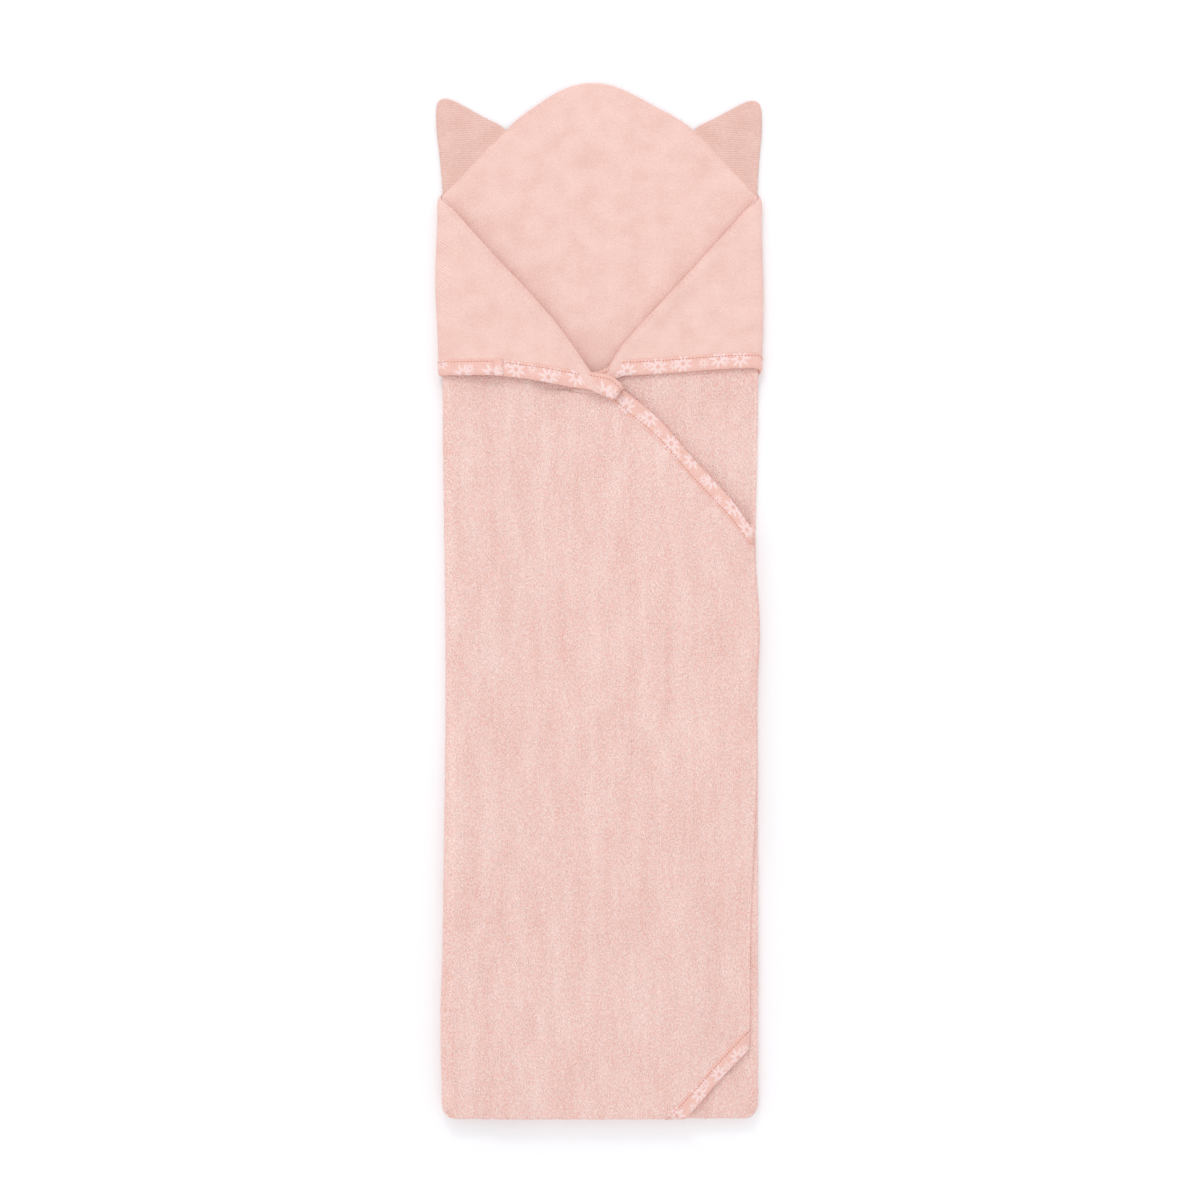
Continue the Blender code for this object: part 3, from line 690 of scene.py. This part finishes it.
# Half of the tape's folded section, as distances in from the cloth's edge and off the cloth's middle.
tape_outer = [(TAPE, 0.00080), (TAPE - 0.0002, 0.00122), (TAPE - 0.0013, 0.00128), (STITCHED_AT, 0.00142),
              (0.55 * TAPE, 0.00152), (0.25 * TAPE, 0.00150), (0.0010, 0.00132), (0.0001, 0.00090),
              (-0.0004, 0.00045)]
tape_inner = [(TAPE - 0.0002, 0.00079), (0.5 * TAPE, 0.00079), (0.0009, 0.00079), (0.0003, 0.00040)]


def tape_profile(proud):
    """Cross-section of the folded tape: how far inward of the edge, and how far off the cloth's middle."""
    outer = tape_outer + [(-0.0006, 0)] + [(s, -d) for s, d in reversed(tape_outer)]
    inner = [(s, -d) for s, d in tape_inner] + [(0.0002, 0)] + [(s, d) for s, d in reversed(tape_inner)]
    return np.array([(s, d + math.copysign(proud, d)) for s, d in outer] + inner), len(outer)


def stations(points):
    """Places along an edge of the flat towel, closer together where the cloth is folded."""
    points = np.asarray(points, float)
    lengths = np.concatenate([[0], np.cumsum(np.linalg.norm(np.diff(points, axis=0), axis=1))])
    at, places = 0.0, [0.0]
    while at < lengths[-1] - 1e-6:
        u, v = np.interp(at, lengths, points[:, 0]), np.interp(at, lengths, points[:, 1])
        tuck = TUCK_X[-1] if u < 0 else TUCK_X[1]
        near_fold = PANEL - 0.001 < abs(u) < FOLDED_WIDTH - PANEL + 0.001 or abs(v - BOTTOM_Y) < 0.0045
        near_fold = near_fold or abs(abs(u) - FOLDED_WIDTH - tuck) < 0.0045
        at = min(at + (0.0006 if near_fold else 0.0026), lengths[-1])
        places.append(at)
    places = np.array(places)
    where = np.stack([np.interp(places, lengths, points[:, k]) for k in (0, 1)], axis=-1)
    tangent = np.gradient(where, axis=0)
    tangent /= np.linalg.norm(tangent, axis=1, keepdims=True)
    return places, where, np.stack([-tangent[:, 1], tangent[:, 0]], axis=-1)


def tape_piece(name, points, material, hood, proud=0.0):
    """The folded tape along an edge, with its own lengthways and crossways coordinates for the print."""
    places, where, inward = stations(points)
    profile, outer_count = tape_profile(proud)
    ring = len(profile)
    flat = where[:, None] + inward[:, None] * profile[None, :, :1]
    offsets = np.broadcast_to(profile[:, 1], flat.shape[:2])
    shape = placed(flat[..., 0], flat[..., 1], offsets, hood).reshape(-1, 3)
    steps = np.linalg.norm(np.diff(profile[:outer_count], axis=0), axis=1)
    across = np.concatenate([[0], np.cumsum(steps), TAPE - profile[outer_count:, 0]])
    uv = np.stack(np.broadcast_arrays(places[:, None], across[None, :]), axis=-1).reshape(-1, 2)
    count = len(places)
    faces = [[i * ring + j, (i + 1) * ring + j, (i + 1) * ring + (j + 1) % ring, i * ring + (j + 1) % ring]
             for i in range(count - 1) for j in range(ring)]
    caps = [list(range(ring)), [(count - 1) * ring + j for j in reversed(range(ring))]]
    piece = make_piece(name, shape, faces + caps, [material], [0] * (len(faces) + 2), uv, uv_name="tape")
    bm = bmesh.new()
    bm.from_mesh(piece.data)
    bmesh.ops.recalc_face_normals(bm, faces=bm.faces)
    bm.to_mesh(piece.data)
    bm.free()
    return piece


# Printed cotton tape: a plain weave, salmon ground with white daisies about 15 mm across, scattered every
# 20 mm and cut off by the tape's edges. It shows crisp petals over a soft matt cloth. Threads 0.4 mm apart
# are drawn 1.8 mm apart, so that they show.
FACE_SPAN = TAPE + 0.0012  # way round the tape from its stitched edge to its fold
THREAD_SPACING = 0.0018
printed_tape = bpy.data.materials.new("daisy_printed_cotton_tape")
printed_tape.use_nodes = True
print_tree = printed_tape.node_tree
print_shader = print_tree.nodes["Principled BSDF"]
tape_place = add(print_tree, "ShaderNodeUVMap", uv_map="tape")
tape_parts = add(print_tree, "ShaderNodeSeparateXYZ", {0: tape_place.outputs["UV"]})


def daisies(spacing, shift, radius, seed):
    """How much of the petals and of the centre of one row of flowers covers each point of the tape."""
    found = {"along": tape_parts.outputs[0], "across": tape_parts.outputs[1]}
    which_flower = [
        ("shifted", "ADD", "along", shift),
        ("cells", "DIVIDE", "shifted", spacing),
        ("cell", "FLOOR", "cells"),
        ("faces", "DIVIDE", "across", FACE_SPAN),
        ("face", "FLOOR", "faces"),
    ]
    which_petal = [
        ("move", "MULTIPLY_ADD", "chance 0", 0.36, 0.32),
        ("in cell", "SUBTRACT", "cells", "cell"),
        ("off middle", "SUBTRACT", "in cell", "move"),
        ("x", "MULTIPLY", "off middle", spacing),
        ("height", "MULTIPLY_ADD", "chance 1", TAPE * 0.7, TAPE * 0.15),
        ("start", "MULTIPLY_ADD", "face", FACE_SPAN, "height"),
        ("y", "SUBTRACT", "across", "start"),
        ("xx", "MULTIPLY", "x", "x"),
        ("yy", "MULTIPLY", "y", "y"),
        ("squares", "ADD", "xx", "yy"),
        ("distance", "SQRT", "squares"),
        ("angle", "ARCTAN2", "y", "x"),
        ("eight petals", "MULTIPLY", "angle", 8.0),
        ("turned", "MULTIPLY_ADD", "chance 2", 6.28, "eight petals"),
        ("wave", "COSINE", "turned"),
        ("petal", "MULTIPLY_ADD", "wave", 0.26, 0.74),
        ("reach", "MULTIPLY", "petal", radius),
        ("inside", "SUBTRACT", "reach", "distance"),
        ("petals", "MULTIPLY", "inside", 1 / 0.0016),
        ("inside middle", "SUBTRACT", radius * 0.24, "distance"),
        ("middle", "MULTIPLY", "inside middle", 1 / 0.0005),
    ]
    for steps in (which_flower, which_petal):
        for name, operation, *inputs in steps:
            links = {i: found.get(value, value) for i, value in enumerate(inputs)}
            found[name] = add(print_tree, "ShaderNodeMath", links, operation=operation).outputs[0]
        if steps is which_flower:
            key = add(print_tree, "ShaderNodeCombineXYZ", {0: found["cell"], 1: found["face"], 2: seed})
            chance = add(print_tree, "ShaderNodeTexWhiteNoise", {0: key.outputs[0]}, noise_dimensions="3D")
            chances = add(print_tree, "ShaderNodeSeparateColor", {0: chance.outputs["Color"]})
            found.update({f"chance {i}": chances.outputs[i] for i in range(3)})
    return [add(print_tree, "ShaderNodeClamp", {0: found[k]}).outputs[0] for k in ("petals", "middle")]


ground = add(print_tree, "ShaderNodeTexNoise", {"Vector": tape_place.outputs["UV"], "Scale": 260.0,
             "Detail": 2.0})
ground_colour = add(print_tree, "ShaderNodeMix", {0: ground.outputs["Fac"], 6: linear("#E4B0A3"),
                    7: linear("#EFC6BB")}, data_type="RGBA")
printed = ground_colour.outputs[2]
faded = add(print_tree, "ShaderNodeTexNoise", {"Vector": tape_place.outputs["UV"], "Scale": 700.0,
            "Detail": 3.0})
fading = add(print_tree, "ShaderNodeMath", {0: faded.outputs["Fac"], 1: 0.9, 2: 0.25},
             operation="MULTIPLY_ADD")
for spacing, shift, radius, seed in ((0.0205, 0.0, 0.0078, 1.0), (0.0205, 0.0105, 0.0046, 2.0)):
    petals, middles = daisies(spacing, shift, radius, seed)
    worn = add(print_tree, "ShaderNodeMath", {0: petals, 1: fading.outputs[0]}, operation="MULTIPLY")
    with_petals = add(print_tree, "ShaderNodeMix", {0: worn.outputs[0], 6: printed, 7: linear("#F3DCDA")},
                      data_type="RGBA")
    dimmed = add(print_tree, "ShaderNodeMath", {0: middles, 1: 0.6}, operation="MULTIPLY")
    with_middles = add(print_tree, "ShaderNodeMix", {0: dimmed.outputs[0], 6: with_petals.outputs[2],
                       7: linear("#E0A090")}, data_type="RGBA")
    printed = with_middles.outputs[2]
# The last millimetre at the stitched edge is turned in; its paler colour is a painted highlight along that
# rolled edge.
painted_edge_highlight = add(print_tree, "ShaderNodeMapRange", {"Value": tape_parts.outputs[1], "From Min": 0.0010,
                "From Max": 0.0007})
print_with_painted_edge_highlight = add(print_tree, "ShaderNodeMix", {0: painted_edge_highlight.outputs["Result"], 6: printed,
                7: linear("#F4DFDA")}, data_type="RGBA")
weave = add(print_tree, "ShaderNodeTexWave", {"Vector": tape_place.outputs["UV"],
            "Scale": WAVE_LENGTH / THREAD_SPACING, "Distortion": 0.6}, wave_type="BANDS",
            bands_direction="DIAGONAL")
weave_bump = add(print_tree, "ShaderNodeBump", {"Height": weave.outputs["Fac"], "Strength": 0.2,
                 "Distance": 0.0002})
print_tree.links.new(print_with_painted_edge_highlight.outputs[2], print_shader.inputs["Base Color"])
print_tree.links.new(weave_bump.outputs["Normal"], print_shader.inputs["Normal"])
print_shader.inputs["Roughness"].default_value = 0.75
print_shader.inputs["Specular IOR Level"].default_value = 0.25

# Where each tape runs on the flat cut, with the cloth on its left. The towel's tape is parted where the left
# flap's fold begins, and the hood's hem tape where it meets that fold.
left_join = np.array([-HALF_MOUTH, HEM_Y])
right_join = np.array([HALF_MOUTH, HEM_Y])
left_end = np.array([-PANEL, BOTTOM_CORNER_Y + PANEL])
left_way = [left_join, *left_corner[0], left_end]
root_way = [left_end, *bottom_corner[0], *right_corner[0], right_join]
mouth_middle = np.array([-PANEL, HEM_Y])
mouth_left = [left_join - (0.0048, 0.0036), left_join - (0.0026, 0.0013), left_join, mouth_middle]
tape_runs = {
    "left_binding_tape": (left_way, False, ["left_flap_upper_binding", "left_flap_lower_binding",
                          "left_tuck_binding", "left_turned_binding"]),
    "towel_binding_tape": (root_way, False, ["bottom_corner_binding", "right_flap_upper_binding",
                           "right_flap_lower_binding", "right_tuck_binding", "right_turned_binding"]),
    "hood_left_hem_tape": (mouth_left, True, ["hood_left_hem"]),
    "hood_hem_tape": ([mouth_middle, right_join], True, ["hood_underside_hem", "hood_right_hem"]),
}
tapes = {}
for name, (way, hood, stands_for) in tape_runs.items():
    tapes[name] = tape_piece(name, way, printed_tape, hood)
    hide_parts(*stands_for)
# The hem tape's two ends overlap, the upper one turned under, where the left hood has just passed its fold.
join_way = [(-0.1610, HEM_Y), (-0.1535, HEM_Y)]
tapes["hood_left_hem_join"] = tape_piece("hood_left_hem_join", join_way, printed_tape, True, 0.0005)

# The topstitching: cotton thread a shade darker than the towel, one row along each tape, showing on both
# faces. The stitches are 1.6 mm long and drawn a little fat, so that they show.
stitch_thread = bpy.data.materials.new("salmon_sewing_thread")
stitch_thread.use_nodes = True
thread_shader = stitch_thread.node_tree.nodes["Principled BSDF"]
thread_place = add(stitch_thread.node_tree, "ShaderNodeTexCoord")
ply = add(stitch_thread.node_tree, "ShaderNodeTexNoise", {"Vector": thread_place.outputs["Object"],
          "Scale": 900.0})
ply_colour = add(stitch_thread.node_tree, "ShaderNodeMix", {0: ply.outputs["Fac"], 6: linear("#BE6F5C"),
                 7: linear("#D08B79")}, data_type="RGBA")
stitch_thread.node_tree.links.new(ply_colour.outputs[2], thread_shader.inputs["Base Color"])
thread_shader.inputs["Roughness"].default_value = 0.6

stitch_row = bpy.data.node_groups.new("row_of_stitches", "GeometryNodeTree")
stitch_row.interface.new_socket("Geometry", in_out="INPUT", socket_type="NodeSocketGeometry")
stitch_row.interface.new_socket("Geometry", in_out="OUTPUT", socket_type="NodeSocketGeometry")
stitch_sizes = {"Stitch length": 0.0016, "Stitch spacing": 0.0024, "Thread radius": 0.00034}
for label in stitch_sizes:
    stitch_row.interface.new_socket(label, in_out="INPUT", socket_type="NodeSocketFloat")
given = add(stitch_row, "NodeGroupInput")
seam_line = add(stitch_row, "GeometryNodeMeshToCurve", {0: given.outputs["Geometry"]})
spots = add(stitch_row, "GeometryNodeResampleCurve", {"Curve": seam_line.outputs[0],
            "Length": given.outputs["Stitch spacing"]}, mode="LENGTH")
half_length = add(stitch_row, "ShaderNodeMath", {0: given.outputs["Stitch length"], 1: 0.5},
                  operation="MULTIPLY")
stitch_scale = add(stitch_row, "ShaderNodeCombineXYZ", {0: half_length.outputs[0],
                   1: given.outputs["Thread radius"], 2: given.outputs["Thread radius"]})
bead = add(stitch_row, "GeometryNodeMeshIcoSphere", {"Radius": 1.0, "Subdivisions": 1})
one_stitch = add(stitch_row, "GeometryNodeTransform", {0: bead.outputs[0], "Scale": stitch_scale.outputs[0]})
heading = add(stitch_row, "GeometryNodeInputTangent")
aligned = add(stitch_row, "FunctionNodeAlignRotationToVector", {"Vector": heading.outputs[0]}, axis="X")
stitches_placed = add(stitch_row, "GeometryNodeInstanceOnPoints", {"Points": spots.outputs[0],
                      "Instance": one_stitch.outputs[0], "Rotation": aligned.outputs[0]})
made_real = add(stitch_row, "GeometryNodeRealizeInstances", {0: stitches_placed.outputs[0]})
coloured = add(stitch_row, "GeometryNodeSetMaterial", {0: made_real.outputs[0], "Material": stitch_thread})
add(stitch_row, "NodeGroupOutput", {0: coloured.outputs[0]})


def stitch_piece(name, runs):
    """Rows of stitches along both faces of some tapes, as one mesh."""
    points, edges = [], []
    for way, hood in runs:
        places, where, inward = stations(way)
        line = where + inward * STITCHED_AT
        for offset in (0.00150, -0.00150):
            row = placed(line[:, 0], line[:, 1], np.full(len(line), offset), hood)
            edges += [(len(points) + i, len(points) + i + 1) for i in range(len(row) - 1)]
            points += row.tolist()
    mesh = bpy.data.meshes.new(name + "_line")
    mesh.from_pydata(points, edges, [])
    line = bpy.data.objects.new(name + "_line", mesh)
    bpy.context.scene.collection.objects.link(line)
    sewing = line.modifiers.new("stitches", "NODES")
    sewing.node_group = stitch_row
    for item in stitch_row.interface.items_tree:
        if item.in_out == "INPUT" and item.name in stitch_sizes:
            sewing[item.identifier] = stitch_sizes[item.name]
    ready = line.evaluated_get(bpy.context.evaluated_depsgraph_get())
    shape = bpy.data.meshes.new_from_object(ready)
    shape.name = name
    piece = bpy.data.objects.new(name, shape)
    bpy.context.scene.collection.objects.link(piece)
    bpy.data.objects.remove(line)
    return piece


left_stitches = stitch_piece("left_topstitching", [(left_way, False), (mouth_left, True)])
towel_runs = [(root_way, False), ([mouth_middle, right_join], True)]
towel_stitches = stitch_piece("towel_topstitching", towel_runs)
for piece in (tapes["towel_binding_tape"], tapes["hood_hem_tape"], towel_stitches):
    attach(piece, "folded_towel")
for piece in (tapes["left_binding_tape"], tapes["hood_left_hem_tape"], tapes["hood_left_hem_join"],
              left_stitches):
    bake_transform(piece)

# The sheets: every piece of cloth with the size it was cut to, what it lies against and what is sewn to it.
# The tapes and stitches are made of one strip and one thread, and go with the cloth that they bind.
for name, (piece, size, area) in cloths.items():
    flat = (float(size[0]), float(size[1]))
